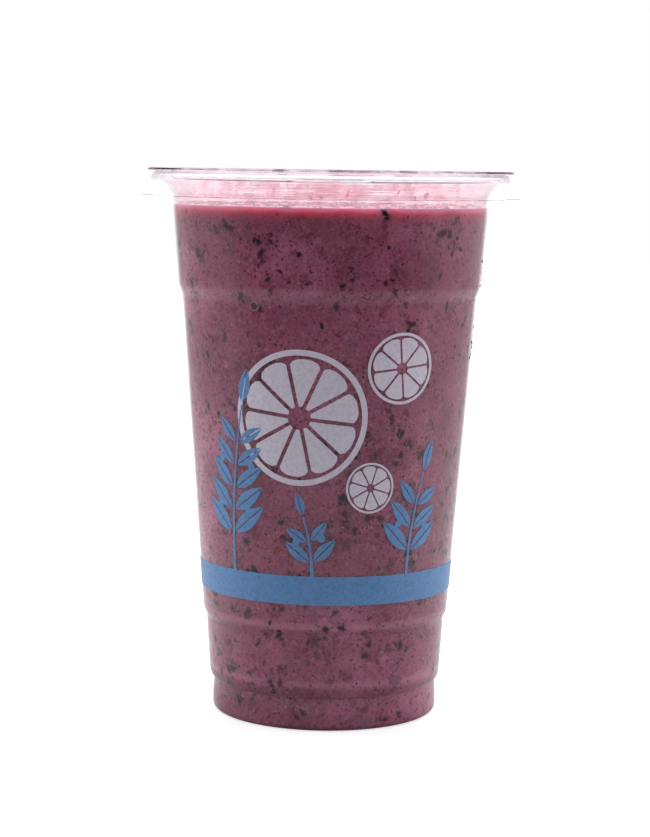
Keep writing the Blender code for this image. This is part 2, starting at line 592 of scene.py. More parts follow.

# The froth is pale, partly its own colour and partly painted light from above, and is paler near the wall
FROTH_AT_WALL = ((0.35, (0.78, 0.56, 0.67)), (0.65, (0.85, 0.71, 0.80)))
FROTH_INSIDE = ((0.35, (0.66, 0.45, 0.56)), (0.65, (0.78, 0.65, 0.76)))


def blend_colour(tree, where):
    """Blended berries: mottled mauve with grey clouds, red pulp and fine specks, with painted light:
    highlights and shade in rings low down, and a crimson glow under the froth.

    Apart from the painted light, the colours are those of the blend in air. Against the wall it looks darker,
    as wet things do.
    """
    body = ramp(tree, noise_texture(tree, where, 48.0, 3.0, 0.6), *CLOUDS)
    for texture, limits, share, tone in NOISE_LAYERS:
        mask = map_range(tree, noise_texture(tree, where, *texture), *limits, 0.0, share)
        body = mix_colour(tree, mask, body, tone)
    shaken = ragged(tree, where, 1600.0, 0.9 * MM)
    clump = map_range(tree, noise_texture(tree, where, 95.0), 0.38, 0.58, 0.3, 1.0)
    for pattern, strength, tone in SPECK_LAYERS:
        mask = times(tree, specks(tree, shaken, *pattern, clump), strength)
        body = mix_colour(tree, mask, body, tone)
    body = mix_colour(tree, specks(tree, shaken, 1150.0, 0.30, 0.09, 0.8), body, (0.84, 0.60, 0.68))
    height = parts_of(tree, where)["Z"]
    # Painted highlights and painted shade in rings round the cup
    for low, high, share, tone in PAINTED_LIGHT_RINGS:
        above = map_range(tree, height, (low - RING_FADE) * MM, (low + RING_FADE) * MM)
        below = map_range(tree, height, (high + RING_FADE) * MM, (high - RING_FADE) * MM)
        body = mix_colour(tree, times(tree, times(tree, above, below), share), body, tone)
    # Painted light: under a wavy line near the top, the blend is painted crimson and then pale, for the light
    # that gets in at the top and glows through it
    wave = map_range(tree, noise_texture(tree, where, 150.0), 0.3, 0.7, 0.6 * MM, -0.6 * MM, smooth=False)
    depth = reckon(tree, "ADD", height, wave)
    body = mix_colour(tree, up_from_level(tree, depth, -4.4, -1.0, 0.86), body, (0.95, 0.225, 0.375))
    body = mix_colour(tree, up_from_level(tree, depth, -2.0, -0.1, 0.9), body, (1.0, 0.54, 0.70))
    mottle = noise_texture(tree, where, 420.0, 3.0)
    flat = vector_math(tree, "MULTIPLY", where, (1.0, 1.0, 0.0)).outputs["Vector"]
    across = vector_math(tree, "LENGTH", flat).outputs["Value"]
    inner = map_range(tree, across, (RIM_RADIUS - 9.0) * MM, (RIM_RADIUS - 18.0) * MM)
    froth = mix_colour(tree, inner, ramp(tree, mottle, *FROTH_AT_WALL), ramp(tree, mottle, *FROTH_INSIDE))
    return mix_colour(tree, up_from_level(tree, height, -0.5, 0.1), body, froth)


def drink_material():
    """The blend, with the light that gets in at its top glowing red a few millimetres down.

    The glow is partly light scattered in the blend and partly painted light, a faint red emission.
    """
    material, tree, shader = new_material("acai_blend")
    where = object_coordinate(tree)
    height = parts_of(tree, where)["Z"]
    wet = noise_texture(tree, where, 500.0, 3.0)
    looks = {
        "Base Color": blend_colour(tree, where),
        "Subsurface Weight": up_from_level(tree, height, -6.0, -1.5),
        "Subsurface Radius": (1.0, 0.25, 0.35),
        "Subsurface Scale": 4.0 * MM,
        # Painted light: a faint red glow given off just under the level, for light that gets in at the top
        "Emission Strength": up_from_level(tree, height, -2.0, 0.1, 0.12),
        "Emission Color": (1.0, 0.34, 0.45),
        "Roughness": map_range(tree, wet, 0.3, 0.7, 0.3, 0.5),
        "Normal": bump(tree, wet, 0.04 * MM),
        "IOR": WET_BENDING,
        "Specular IOR Level": 0.1,
    }
    feed(tree, shader, looks)
    return material


def bits_material():
    """Bits of fruit in their own colours, which fade into the blend round them."""
    material, tree, shader = new_material("fruit_bits")
    where = object_coordinate(tree)
    tone = add(tree, "ShaderNodeVertexColor", layer_name="tone").outputs
    grain = ramp(tree, noise_texture(tree, where, 1400.0), (0.3, (0.7, 0.7, 0.7)), (0.7, WHITE))
    flesh = mix_colour(tree, 1.0, tone["Color"], grain, blend="MULTIPLY")
    colour = mix_colour(tree, tone["Alpha"], blend_colour(tree, where), flesh)
    looks = {"Base Color": colour, "Roughness": 0.6, "IOR": WET_BENDING, "Specular IOR Level": 0.0}
    feed(tree, shader, looks)
    return material


def thin_material(name):
    """A material that tints the light that comes through without bending it, its tree and its shader."""
    material, tree, shader = new_material(name)
    feed(tree, shader, {"Roughness": 0.0, "Transmission Weight": 1.0, "IOR": 1.0})
    return material, tree, shader


def film_material(name, dark, light, low=WHITE):
    """A thin film of smoothie. low is a further tint for its lower part on the neck."""
    material, tree, shader = thin_material(name)
    where = object_coordinate(tree)
    streak = ramp(tree, noise_texture(tree, where, 260.0, 4.0, 0.6), (0.35, dark), (0.62, light))
    climb = mix_colour(tree, up_from_level(tree, parts_of(tree, where)["Z"], 4.0, 7.2), low, WHITE)
    feed(tree, shader, {"Base Color": mix_colour(tree, 1.0, streak, climb, blend="MULTIPLY")})
    return material


def residue_material():
    """Thin clots of smoothie, each of which tints the light that comes through by its own colour."""
    material, tree, shader = thin_material("residue")
    tone = add(tree, "ShaderNodeVertexColor", layer_name="tone").outputs
    feed(tree, shader, {"Base Color": mix_colour(tree, tone["Alpha"], WHITE, tone["Color"])})
    return material


def plastic_material(name, ripple, bending, coat=0.0):
    """Clear PET sheet with the faint ripple that forming leaves. bending is its refractive index."""
    material, tree, shader = new_material(name)
    where = object_coordinate(tree)
    looks = {
        "Base Color": (0.985, 0.985, 0.99),
        "Transmission Weight": 1.0,
        "IOR": bending,
        "Coat Weight": coat,
        "Coat Roughness": 0.02,
        "Roughness": map_range(tree, noise_texture(tree, where, 60.0, 4.0), 0.45, 0.8, 0.0, 0.03),
        "Normal": bump(tree, noise_texture(tree, where, 90.0), ripple * MM),
    }
    feed(tree, shader, looks)
    return material


def mottled_material(name, texture, full, dark, light, roughness, alpha=1.0):
    """A material between two tones by a noise texture: dark up to 0.3, and light from full on."""
    material, tree, shader = new_material(name)
    colour = ramp(tree, noise_texture(tree, object_coordinate(tree), *texture), (0.3, dark), (full, light))
    feed(tree, shader, {"Base Color": colour, "Roughness": roughness, "Alpha": alpha})
    return material


def ink_material(name, colour, worn, opacity):
    """Screen-printed ink, a little uneven and a little see-through."""
    return mottled_material(name, (1100.0, 4.0, 0.75), 0.6, worn, colour, 0.42, opacity)


# Cup and lid


def make_cup():
    plastic = plastic_material("cup_plastic", 0.04, CUP_BENDING)
    piece = lathe("cup_shell", shell(CUP_OUTSIDE, CUP_WALL), plastic, "clear_cup")
    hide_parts("cup")


def make_lid():
    """The lid, with a cross-shaped slit through its straw disc."""
    plastic = plastic_material("lid_plastic", 0.06, LID_BENDING, LID_COAT)
    piece = lathe("lid_shell", lid_shell(), plastic, "clear_lid")
    middle = Matrix.Translation((0, 0, (PANEL_TOP + STRAW_DISC_RISE) * MM))
    size = Matrix.Diagonal((SLIT_LENGTH * MM, SLIT_WIDTH * MM, SLIT_DEPTH * MM, 1.0))
    for turn in (math.pi / 4, 3 * math.pi / 4):
        build = bmesh.new()
        bmesh.ops.create_cube(build, size=1.0, matrix=middle @ Matrix.Rotation(turn, 4, "Z") @ size)
        mesh = bpy.data.meshes.new("slit")
        build.to_mesh(mesh)
        build.free()
        blade = bpy.data.objects.new("slit", mesh)
        bpy.context.scene.collection.objects.link(blade)
        cutter = piece.modifiers.new("slit", "BOOLEAN")
        cutter.operation = "DIFFERENCE"
        cutter.solver = "MANIFOLD"
        cutter.object = blade
        cut = bpy.data.meshes.new_from_object(piece.evaluated_get(bpy.context.evaluated_depsgraph_get()))
        piece.modifiers.clear()
        piece.data = cut
        bpy.data.objects.remove(blade)
    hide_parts("lid")


# Drink


def make_drink():
    """The drink's side just inside the wall, under a frothy top."""
    rings = 64
    radius = DRINK_SIDE.radii[-1]
    side = [point for point in DRINK_OUTLINE if point[1] < 2.0 and point[0] < FOOT_RADIUS]
    side += list(zip(DRINK_SIDE.radii, DRINK_SIDE.heights))
    top = [(radius * (1 - i / rings), LEVEL) for i in range(1, rings)]

    def froth(r, z, turns):
        points = np.stack([r * np.cos(turns), r * np.sin(turns), np.full(SEGMENTS, z)], 1)
        if z < LEVEL or r == radius:
            return points[:, 2]
        fade = min(1.0, (radius - r) / 2.0)
        lift = 0.22 * noise_at(points, 0.13, 3.0) + 0.14 * noise_at(points, 0.6, 9.0)
        return z + fade * (lift - 0.08) + 0.12 * (1 - fade)

    piece = lathe("smoothie_fill", [*side, *top, (0.0, LEVEL)], drink_material(), DRINK_SLOT, relief=froth)
    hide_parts("smoothie")


BLUE_BLACK = (0.048, 0.013, 0.034)
CHARCOAL = (0.060, 0.024, 0.042)
DARK_MAROON = (0.105, 0.010, 0.024)
MAROON = (0.24, 0.016, 0.038)
CRIMSON = (0.40, 0.040, 0.070)
SEED = (0.88, 0.72, 0.76)
# Near-white bits, painted glints that stand in for highlights
GLINT = (0.96, 0.92, 0.94)
BUBBLE_GREY = (0.16, 0.10, 0.14)

# The same in a thin layer on clear plastic, where light comes through
THIN_CRIMSON = (0.78, 0.22, 0.26)
THIN_MAROON = (0.46, 0.10, 0.15)
THIN_DARK = (0.12, 0.05, 0.07)


def moved(points, across, up, turn):
    """Flat points turned about their origin and then moved."""
    cosine, sine = math.cos(turn), math.sin(turn)
    return [(across + x * cosine - y * sine, up + x * sine + y * cosine) for x, y in points]


def blob(rng, size, stretch, points, lean=None):
    """An uneven flat outline about size across, as (along, up) pairs, its long side at lean or anyhow."""
    half_long = size * stretch**0.5 / 2
    half_short = size / stretch**0.5 / 2
    if lean is None:
        lean = rng.uniform(0, math.tau)
    lobes = [(count, rng.uniform(0.0, 0.17), rng.uniform(0, math.tau)) for count in (2, 3, 5)]
    outline = []
    for i in range(points):
        turn = math.tau * i / points
        swell = rng.uniform(0.88, 1.06)
        swell += sum(depth * math.sin(count * turn + start) for count, depth, start in lobes)
        outline.append((half_long * swell * math.cos(turn), half_short * swell * math.sin(turn)))
    return moved(outline, 0.0, 0.0, lean)


class Bits:
    """Flat bits laid on a profile and gathered into one mesh."""

    def __init__(self, profile, lift, inner=0.62):
        self.profile = profile
        self.lift = lift
        self.inner = inner
        self.vertices = []
        self.faces = []
        self.tones = []

    def put(self, turn, distance, outline, colour, cover):
        """One bit: its middle at the full cover, its edge faded out."""
        count = len(outline)
        shape = [(0.0, 0.0)]
        shape += [(a * self.inner, u * self.inner) for a, u in outline] + outline
        along = np.array([a for a, _ in shape])
        up = np.clip(np.array([u for _, u in shape]) + distance, 0.0, self.profile.length)
        radius = self.profile.at(up)[0]
        rise = np.array([1.6] + [1.0] * count + [0.2] * count) * self.lift
        first = len(self.vertices)
        self.vertices.extend(self.profile.place(turn + along / radius, up, rise))
        self.tones.extend([(*colour, cover)] * (count + 1))
        self.tones.extend([(*colour, 0.0)] * count)
        for i in range(count):
            j = (i + 1) % count
            near, beside = first + 1 + i, first + 1 + j
            self.faces.append((first, near, beside))
            self.faces.append((near, near + count, beside + count, beside))

    def bubble(self, turn, distance, size, sides=24):
        """An air bubble flattened against the wall: a pale ring, fading outwards, round a grey disc."""
        radius = float(self.profile.at(distance)[0])
        first = len(self.vertices)
        rings = ((0.28, BUBBLE_GREY, 0.9), (0.37, SEED, 0.38), (0.43, SEED, 0.3), (0.5, SEED, 0.0))
        self.vertices.append(self.profile.place(turn, distance, 2.0 * self.lift))
        self.tones.append((*BUBBLE_GREY, 0.95))
        for share, colour, cover in rings:
            for i in range(sides):
                way = math.tau * i / sides
                along, up = size * share * math.cos(way), size * share * math.sin(way)
                point = self.profile.place(turn + along / radius, distance + up, 2.0 * self.lift)
                self.vertices.append(point)
                self.tones.append((*colour, cover))
        for i in range(sides):
            j = (i + 1) % sides
            self.faces.append((first, first + 1 + i, first + 1 + j))
            for ring in range(len(rings) - 1):
                low = first + 1 + ring * sides
                self.faces.append((low + i, low + sides + i, low + sides + j, low + j))

    def finish(self, name, material):
        return piece_from(name, self.vertices, self.faces, material, DRINK_SLOT, tones=self.tones)


def scatter(rng, bits, number, spot, colours, weights, sizes, stretch, points=7, covers=None):
    """Lays many bits. sizes are the least size, what comes on top at most, and a power that keeps it rare."""
    least, more, power = sizes
    for _ in range(number):
        turn, distance = spot()
        colour = rng.choices(colours, weights)[0] if weights else colours[0]
        outline = blob(rng, least + more * rng.random() ** power, rng.uniform(1.0, stretch), points)
        bits.put(turn, distance, outline, colour, rng.uniform(*covers) if covers else 1.0)


# The drink's radius about halfway up, by which steps along the wall become angles
MEAN_RADIUS = 37.0

# The largest skins in front, by their place across, height, size, stretch, lean in degrees and colour
LARGE_SKINS = (
    (30.8, 114.2, 2.6, 5.0, 86, BLUE_BLACK),
    (28.7, 122.0, 1.9, 2.4, 70, DARK_MAROON),
    (20.5, 107.6, 2.9, 1.8, 80, CHARCOAL),
    (15.0, 129.7, 1.6, 1.0, 0, BLUE_BLACK),
    (-7.1, 68.7, 1.5, 1.0, 0, BLUE_BLACK),
    (4.8, 28.8, 2.1, 3.4, 88, CHARCOAL),
    (-26.5, 60.0, 2.3, 2.0, 40, BLUE_BLACK),
    (-16.0, 121.0, 1.8, 1.6, 20, CHARCOAL),
)

# Air bubbles flattened against the wall, by their place across, height and size
AIR_BUBBLES = ((-19.5, 113.9, 3.0), (9.0, 96.0, 1.4), (-12.0, 58.0, 1.2), (24.0, 52.0, 1.3))


def make_bits():
    """Skins, red pulp and pale seed bits pressed against the inside of the wall, with painted glints among
    them.
    """
    material = bits_material()
    rng = random.Random(11)
    length = DRINK_SIDE.length
    flakes = Bits(DRINK_SIDE, LAID_OFF, inner=0.42)
    crumbs = Bits(DRINK_SIDE, LAID_OFF)
    pulp = Bits(DRINK_SIDE, LAID_OFF * 0.7)
    seeds_and_glints = Bits(DRINK_SIDE, LAID_OFF * 0.9)
    hazes = Bits(DRINK_SIDE, LAID_OFF * 0.6, inner=0.3)

    def spot():
        """A place on the side, rarer where the blend is smooth and just under the froth."""
        while True:
            turn = rng.uniform(-math.pi, math.pi)
            distance = rng.uniform(0.0, length - 1.2)
            if rng.random() > 0.35 + 0.65 * (length - distance) / 8.0:
                continue
            point = DRINK_SIDE.place(turn, distance, 0.0)
            if rng.random() < 0.62 + 0.9 * noise.noise(Vector(point) * 0.055):
                return turn, distance

    def beside(turn, distance, reach, way):
        """A place beside another, so far off in the direction way."""
        distance = min(max(distance + reach * math.sin(way), 0.5), length - 1.0)
        return turn + reach * math.cos(way) / MEAN_RADIUS, distance

    places = []
    for _ in range(560):
        turn, distance = spot()
        places.append((turn, distance))
        for _ in range(rng.choice((0, 0, 1, 2, 3))):
            turn += rng.gauss(0.0, 2.6) / MEAN_RADIUS
            distance = min(max(distance + rng.gauss(0.0, 2.6), 0.5), length - 1.2)
            places.append((turn, distance))
    for turn, distance in places:
        size = 0.8 + 2.7 * rng.random() ** 2.0
        if rng.random() < 0.4:
            outline = blob(rng, size * rng.uniform(1.2, 2.2), rng.uniform(1.0, 1.8), 13)
            hazes.put(turn, distance, outline, BLUE_BLACK, rng.uniform(0.25, 0.55))
        colour = rng.choices((BLUE_BLACK, CHARCOAL, DARK_MAROON), (5, 2, 3))[0]
        cover = rng.choice((0.45, 0.7, 0.9, 1.0))
        flakes.put(turn, distance, blob(rng, size, rng.uniform(1.0, 2.0), 17), colour, cover)
        for _ in range(rng.choice((0, 0, 1, 2))):
            way = rng.uniform(0, math.tau)
            part = size * rng.uniform(0.4, 0.75)
            outline = blob(rng, part, rng.uniform(1.0, 1.8), 11)
            flakes.put(*beside(turn, distance, 0.45 * size, way), outline, colour, cover)
        for _ in range(rng.randrange(3)):
            reach = size * rng.uniform(0.7, 1.7)
            place = beside(turn, distance, reach, rng.uniform(0, math.tau))
            outline = blob(rng, rng.uniform(0.3, 0.8), rng.uniform(1.0, 2.0), 7)
            crumbs.put(*place, outline, rng.choice((colour, DARK_MAROON)), rng.uniform(0.6, 1.0))
    skins = (MAROON, DARK_MAROON, BLUE_BLACK)
    scatter(rng, crumbs, 3200, spot, skins, (12, 4, 1), (0.35, 0.7, 1.8), 2.4, covers=(0.55, 1.0))
    scatter(rng, pulp, 520, spot, (CRIMSON,), None, (0.9, 2.4, 2), 2.2, 9, (0.3, 0.75))
    # Pale seed bits, with painted glints among them
    scatter(rng, seeds_and_glints, 430, spot, (SEED, GLINT), (4, 1), (0.28, 0.34, 1), 2.2, covers=(0.5, 0.95))
    for across, height, size, stretch, lean, colour in LARGE_SKINS:
        distance = DRINK_SIDE.reach(height)
        outline = blob(rng, size, stretch, 13, math.radians(lean))
        flakes.put(DRINK_SIDE.turn_in_front(across, distance), distance, outline, colour, 1.0)
    for across, height, size in AIR_BUBBLES:
        distance = DRINK_SIDE.reach(height)
        flakes.bubble(DRINK_SIDE.turn_in_front(across, distance), distance, size)
    flakes.finish("skin_flakes", material)
    hazes.finish("skin_hazes", material)
    crumbs.finish("skin_crumbs", material)
    pulp.finish("red_pulp", material)
    seeds_and_glints.finish("seed_and_glint_bits", material)


# Films and bits of smoothie on the neck and the lid


# Noise squashed by this gives smears that run round the cup
SMEAR = np.array([1.0, 1.0, 3.5])


def film_holes(points):
    """How far points lie outside the clear patches. From the camera, those behind lie on those in front."""
    depth = np.full(points.shape[:-1], 1.0)
    behind = points[..., 1] > 0.0
    wider = np.where(behind, 1.15, 1.0)
    lower = np.where(behind, 0.75, 0.0)
    for across, height, half_width, half_height in (
        (-21.0, 145.8, 2.6, 0.9),
        (-11.0, 145.4, 2.2, 0.8),
        (-9.4, 146.2, 1.2, 0.5),
        (12.6, 145.5, 3.2, 0.95),
        (21.9, 146.0, 1.5, 0.7),
        (30.2, 146.0, 1.6, 0.4),
    ):
        aside = (points[..., 0] / wider - across) / half_width
        spread = np.hypot(aside, (points[..., 2] - height + lower) / half_height)
        depth = np.minimum(depth, spread - 1.0)
    return depth


def make_films():
    pink = film_material("pink_film", (0.85, 0.57, 0.64), (0.96, 0.82, 0.88), low=(0.88, 0.76, 0.77))
    mauve = film_material("mauve_film", (0.30, 0.19, 0.26), (0.56, 0.40, 0.49))
    edge = film_material("edge_film", (0.50, 0.38, 0.45), (0.80, 0.70, 0.76))
    fog = film_material("lid_fog", (0.89, 0.82, 0.86), (0.97, 0.935, 0.955))

    def on_neck(points, turn, distance):
        """The film climbs to the rim on the right and halfway there on the left. Elsewhere it stops lower."""
        ragged_by = waves(points * SMEAR, (0.8, 0.13, 5.0), (0.45, 0.5, 7.0), (0.3, 1.6, 9.0))
        right = np.clip((points[..., 0] - 36.0) / 6.0, 0.0, 1.0)
        left = np.clip((-points[..., 0] - 36.0) / 6.0, 0.0, 1.0)
        top = 7.0 + 1.6 * right + 0.6 * left + 0.8 * ragged_by
        return np.minimum(np.minimum(top - distance, film_holes(points)), 1.3 + ragged_by + left + right)

    def thicker(points, turn, distance):
        """The film is thicker below a ragged line that lies highest in the middle, in front and behind."""
        line = waves(points * SMEAR, (1.2, 0.14, 4.0), (0.9, 0.7, 2.0))
        line += 4.1 - (np.abs(points[..., 0]) / 34.0) ** 2
        return np.minimum(np.minimum(on_neck(points, turn, distance), distance - 1.8), line - distance)

    def on_skirt(points, turn, distance):
        return 0.6 + waves(points * SMEAR, (1.0, 0.16, 1.0), (0.5, 0.5, 6.0))

    def under_panel(points, turn, distance):
        return 0.18 + waves(points, (1.0, 0.11, 2.0), (0.4, 0.5, 4.0))

    def on_corner(points, turn, distance):
        return 1.3 + waves(points, (1.0, 0.10, 6.0), (0.4, 0.9, 8.0))

    def on_edge(points, turn, distance):
        thinned = 0.8 + waves(points, (1.0, 0.12, 3.0), (0.3, 0.8, 5.0))
        return np.minimum(thinned, 46.0 - np.abs(points[..., 0]))

    def on_line(points, turn, distance):
        """A thin line in front, where smoothie gathered level with the flange."""
        near = np.where(points[..., 1] < 0.0, 22.0 - np.abs(points[..., 0] + 6.0), -1.0)
        return np.minimum(0.22 + waves(points, (0.1, 0.4, 8.0)) - np.abs(distance - 1.85), near)

    def clotted(points, turn, distance):
        """Darker stretches, by their middle and half length in degrees from the front."""
        away = np.degrees((turn - FRONT + math.pi) % math.tau - math.pi)
        stretches = ((-15.5, 1.6), (6.5, 7.0), (23.5, 2.8))
        nearest = [1.0 - np.abs(away - middle) / half for middle, half in stretches]
        return np.max(nearest, axis=0) + waves(points, (0.4, 0.7, 3.0))

    rounding = arc(LID_RADIUS - LID_CORNER, LID_TOP - LID_CORNER, LID_CORNER, 8, 90)
    corner = Profile([*rounding, (LID_RADIUS - 4.0, LID_TOP)])
    skirt_radius = LID_RADIUS - LID_WALL
    skirt = Profile([(skirt_radius, FLANGE_TOP + 0.4), (skirt_radius, LID_TOP - LID_CORNER)])
    flange = Profile([(LID_RADIUS + SKIRT_FILLET, FLANGE_LOW), (FLANGE_RADIUS, FLANGE_TOP - FLANGE_EDGE)])
    clipped_sheet("neck_film", NECK_INSIDE, 0.35, on_neck, -LAID_OFF, pink)
    clipped_sheet("neck_film_thick", NECK_INSIDE, 0.35, thicker, -3 * LAID_OFF, pink)
    clipped_sheet("lid_splashes", PANEL_UNDERSIDE, 0.6, under_panel, LAID_OFF, fog)
    clipped_sheet("skirt_fog", skirt, 0.6, on_skirt, -LAID_OFF, fog)
    clipped_sheet("rim_line", corner, 0.25, on_corner, LAID_OFF, mauve)
    clipped_sheet("rim_clots", corner, 0.2, clotted, 2 * LAID_OFF, mauve)
    clipped_sheet("flange_line", flange, 0.22, on_edge, LAID_OFF, edge)
    clipped_sheet("neck_line", NECK_INSIDE, 0.2, on_line, -2 * LAID_OFF, edge)


# Larger streaks and clots, by their place across the front, height along the neck, size, stretch and colour
LARGE_CLOTS = (
    (4.2, 3.6, 1.9, 3.2, THIN_CRIMSON),
    (24.4, 3.4, 2.4, 1.9, THIN_MAROON),
    (21.5, 2.6, 1.0, 1.4, THIN_DARK),
    (17.2, 4.4, 1.2, 1.8, THIN_MAROON),
    (-5.2, 2.5, 1.2, 2.2, THIN_MAROON),
    (-2.4, 2.4, 1.0, 1.8, THIN_DARK),
    (-14.5, 4.8, 0.9, 1.5, THIN_CRIMSON),
    (33.0, 5.2, 1.8, 2.4, THIN_CRIMSON),
)


def make_residue():
    """Specks, streaks and clots left on the neck and under the lid's panel."""
    material = residue_material()
    rng = random.Random(21)
    colours, weights = (THIN_CRIMSON, THIN_MAROON, THIN_DARK), (6, 4, 2)

    def on_neck():
        return rng.uniform(-math.pi, math.pi), rng.uniform(0.4, 6.4)

    def under_panel():
        return rng.uniform(-math.pi, math.pi), PANEL_UNDERSIDE.length * rng.random() ** 0.6

    left = Bits(NECK_INSIDE, -LAID_OFF * 2)
    scatter(rng, left, 430, on_neck, colours, weights, (0.18, 0.5, 3), 1.8)
    for across, distance, size, stretch, colour in LARGE_CLOTS:
        turn = NECK_INSIDE.turn_in_front(across, distance)
        left.put(turn, distance, blob(rng, size, stretch, 11), colour, 1.0)
    left.finish("neck_specks", material)
    under = Bits(PANEL_UNDERSIDE, LAID_OFF * 2)
    scatter(rng, under, 140, under_panel, colours, weights, (0.2, 0.6, 3), 2.4)
    under.finish("panel_specks", material)


def domes(name, profile, spots, material, sides=12, bands=3):
    """Closed round domes on a profile, as one mesh. spots are (turn, distance, radius, height)."""
    vertices, faces = [], []
    for turn, distance, size, height in spots:
        first = len(vertices)
        across = float(profile.at(distance)[0])
        for band in range(bands):
            lean = math.pi / 2 * band / bands
            reach, rise = size * math.cos(lean), height * math.sin(lean)
            for i in range(sides):
                way = math.tau * i / sides
                along, up = reach * math.cos(way), reach * math.sin(way)
                vertices.append(profile.place(turn + along / across, distance + up, LAID_OFF + rise))
        vertices.append(profile.place(turn, distance, LAID_OFF + height))
        for band in range(bands - 1):
            for i in range(sides):
                j = (i + 1) % sides
                low = first + band * sides
                faces.append((low + i, low + j, low + sides + j, low + sides + i))
        last = first + (bands - 1) * sides
        faces += [(last + i, last + (i + 1) % sides, first + bands * sides) for i in range(sides)]
        faces.append(tuple(first + i for i in reversed(range(sides))))
    point_outwards(piece_from(name, vertices, faces, material, DRINK_SLOT))


def make_froth():
    """Bubbles on the drink's top, most of them near the wall."""
    rng = random.Random(31)
    spots = []
    for _ in range(520):
        distance = 1.2 + (DRINK_TOP.length - 3.0) * rng.random() ** 2.2
        size = 0.25 + 1.0 * rng.random() ** 3
        spots.append((rng.uniform(-math.pi, math.pi), distance, size, size * 0.5))
    material = mottled_material("froth", (500.0,), 0.7, (0.70, 0.40, 0.49), (0.84, 0.60, 0.68), 0.25)
    domes("froth_bubbles", DRINK_TOP, spots, material)


def make_drips():
    """Small drops of thinned smoothie on the outside, high on the right."""
    rng = random.Random(41)
    spots = []
    for _ in range(46):
        turn = rng.gauss(-0.06, 0.12)
        distance = WALL.reach(rng.uniform(98.0, 126.0))
        size = 0.22 + 0.4 * rng.random() ** 2
        spots.append((turn, distance, size, size * 0.4))
    material = mottled_material("drips", (200.0,), 0.7, (0.36, 0.17, 0.24), (0.46, 0.26, 0.33), 0.15, 0.6)
    domes("outside_drips", WALL, spots, material)


# Print


def circle(u, z, radius, points=72):
    turns = [math.tau * i / points for i in range(points)]
    return [(u + radius * math.cos(turn), z + radius * math.sin(turn)) for turn in turns]


def sheet_on_wall(name, shapes, material, lift, column=1.5):
    """Flat shapes of (along, height) loops laid on the cup's outside, cut into columns that follow it."""
    build = bmesh.new()
    for loops in shapes:
        edges = []
        for loop in loops:
            corners = [build.verts.new((u, 0.0, z)) for u, z in loop]
            edges += [build.edges.new((a, b)) for a, b in zip(corners, corners[1:] + corners[:1])]
        bmesh.ops.triangle_fill(build, use_beauty=True, edges=edges, normal=(0, -1, 0))
    span = max(abs(v.co.x) for v in build.verts)
    for i in range(-int(span / column), int(span / column) + 1):
        bmesh.ops.bisect_plane(
            build,
            geom=build.verts[:] + build.edges[:] + build.faces[:],
            dist=1e-5,
            plane_co=(i * column, 0, 0),
            plane_no=(1, 0, 0),
        )
    for v in build.verts:
        radius = float(np.interp(v.co.z, WALL.heights, WALL.radii)) + lift
        turn = v.co.x / PRINT_RADIUS + FRONT
        v.co = Vector((radius * math.cos(turn), radius * math.sin(turn), v.co.z))
    for face in build.faces:
        face.normal_update()
        middle = face.calc_center_median()
        if face.normal.x * middle.x + face.normal.y * middle.y < 0:
            face.normal_flip()
    build.verts.index_update()
    vertices = [tuple(v.co) for v in build.verts]
    faces = [[v.index for v in face.verts] for face in build.faces]
    build.free()
    return piece_from(name, vertices, faces, material, "clear_cup")


def citrus_wheel(u, z, radius, wedges, tilt):
    """A slice of citrus: a ring of rind round wedges with parallel gaps."""
    shapes = [[circle(u, z, radius), circle(u, z, radius * 0.915)]]
    reach = radius * 0.865
    gap = radius * 0.028
    side = [radius * share for share in (0.17, 0.4, 0.62, 0.79)]

    def half_angle(r):
        return math.pi / wedges - math.asin(gap / r)

    polar = [(r, -half_angle(r)) for r in side]
    for share in (-0.93, -0.75, -0.4, 0, 0.4, 0.75, 0.93):
        polar.append((reach * (1 - 0.09 * abs(share) ** 4), share * half_angle(reach)))
    polar += [(r, half_angle(r)) for r in reversed(side)]
    for k in range(wedges):
        middle = tilt + math.tau * k / wedges
        shapes.append([[(u + r * math.cos(middle + a), z + r * math.sin(middle + a)) for r, a in polar]])
    return shapes


def leaf(u, z, length, width, turn):
    """A pointed leaf from its foot, in two halves beside a bare vein."""
    vein = 0.14
    steps = 10
    rim = [(length * i / steps, width / 2 * math.sin(math.pi * (i / steps) ** 0.85)) for i in range(1, steps)]
    loop = [(length * 0.02, vein), *[(a, max(b, vein * 1.2)) for a, b in rim], (length * 0.98, vein)]
    return [[moved([(a, side * b) for a, b in loop], u, z, turn)] for side in (1, -1)]


def sprig(u, z, height, sway, pairs, length, width):
    """A curved stem with leaves in pairs and one at the tip, and a berry between some of them."""

    def at(share):
        return u + sway * share**2, z + height * share

    steps = 24
    stem = [at(i / steps) for i in range(steps + 1)]
    thin = [0.5 * (1 - 0.6 * i / steps) for i in range(steps + 1)]
    left = [(x - w, y) for (x, y), w in zip(stem, thin)]
    right = [(x + w, y) for (x, y), w in zip(stem, thin)]
    shapes = [[left + right[::-1]]]
    for k in range(pairs):
        share = 0.22 + 0.68 * k / pairs
        x, y = at(share)
        heading = math.atan2(height, 2 * sway * share)
        size = 1.0 - 0.4 * k / pairs
        for side in (1, -1):
            turn = heading + side * math.radians(50)
            foot = (x + 0.8 * math.cos(turn), y + 0.8 * math.sin(turn))
            shapes += leaf(*foot, length * size, width * size, turn)
            if k % 2 == 1:
                berry = heading + side * math.radians(78)
                reach = length * 0.42
                shapes.append([circle(x + reach * math.cos(berry), y + reach * math.sin(berry), 1.05, 20)])
    x, y = at(1.0)
    return shapes + leaf(x, y + 0.5, length * 0.75, width * 0.75, math.atan2(height, 2 * sway))


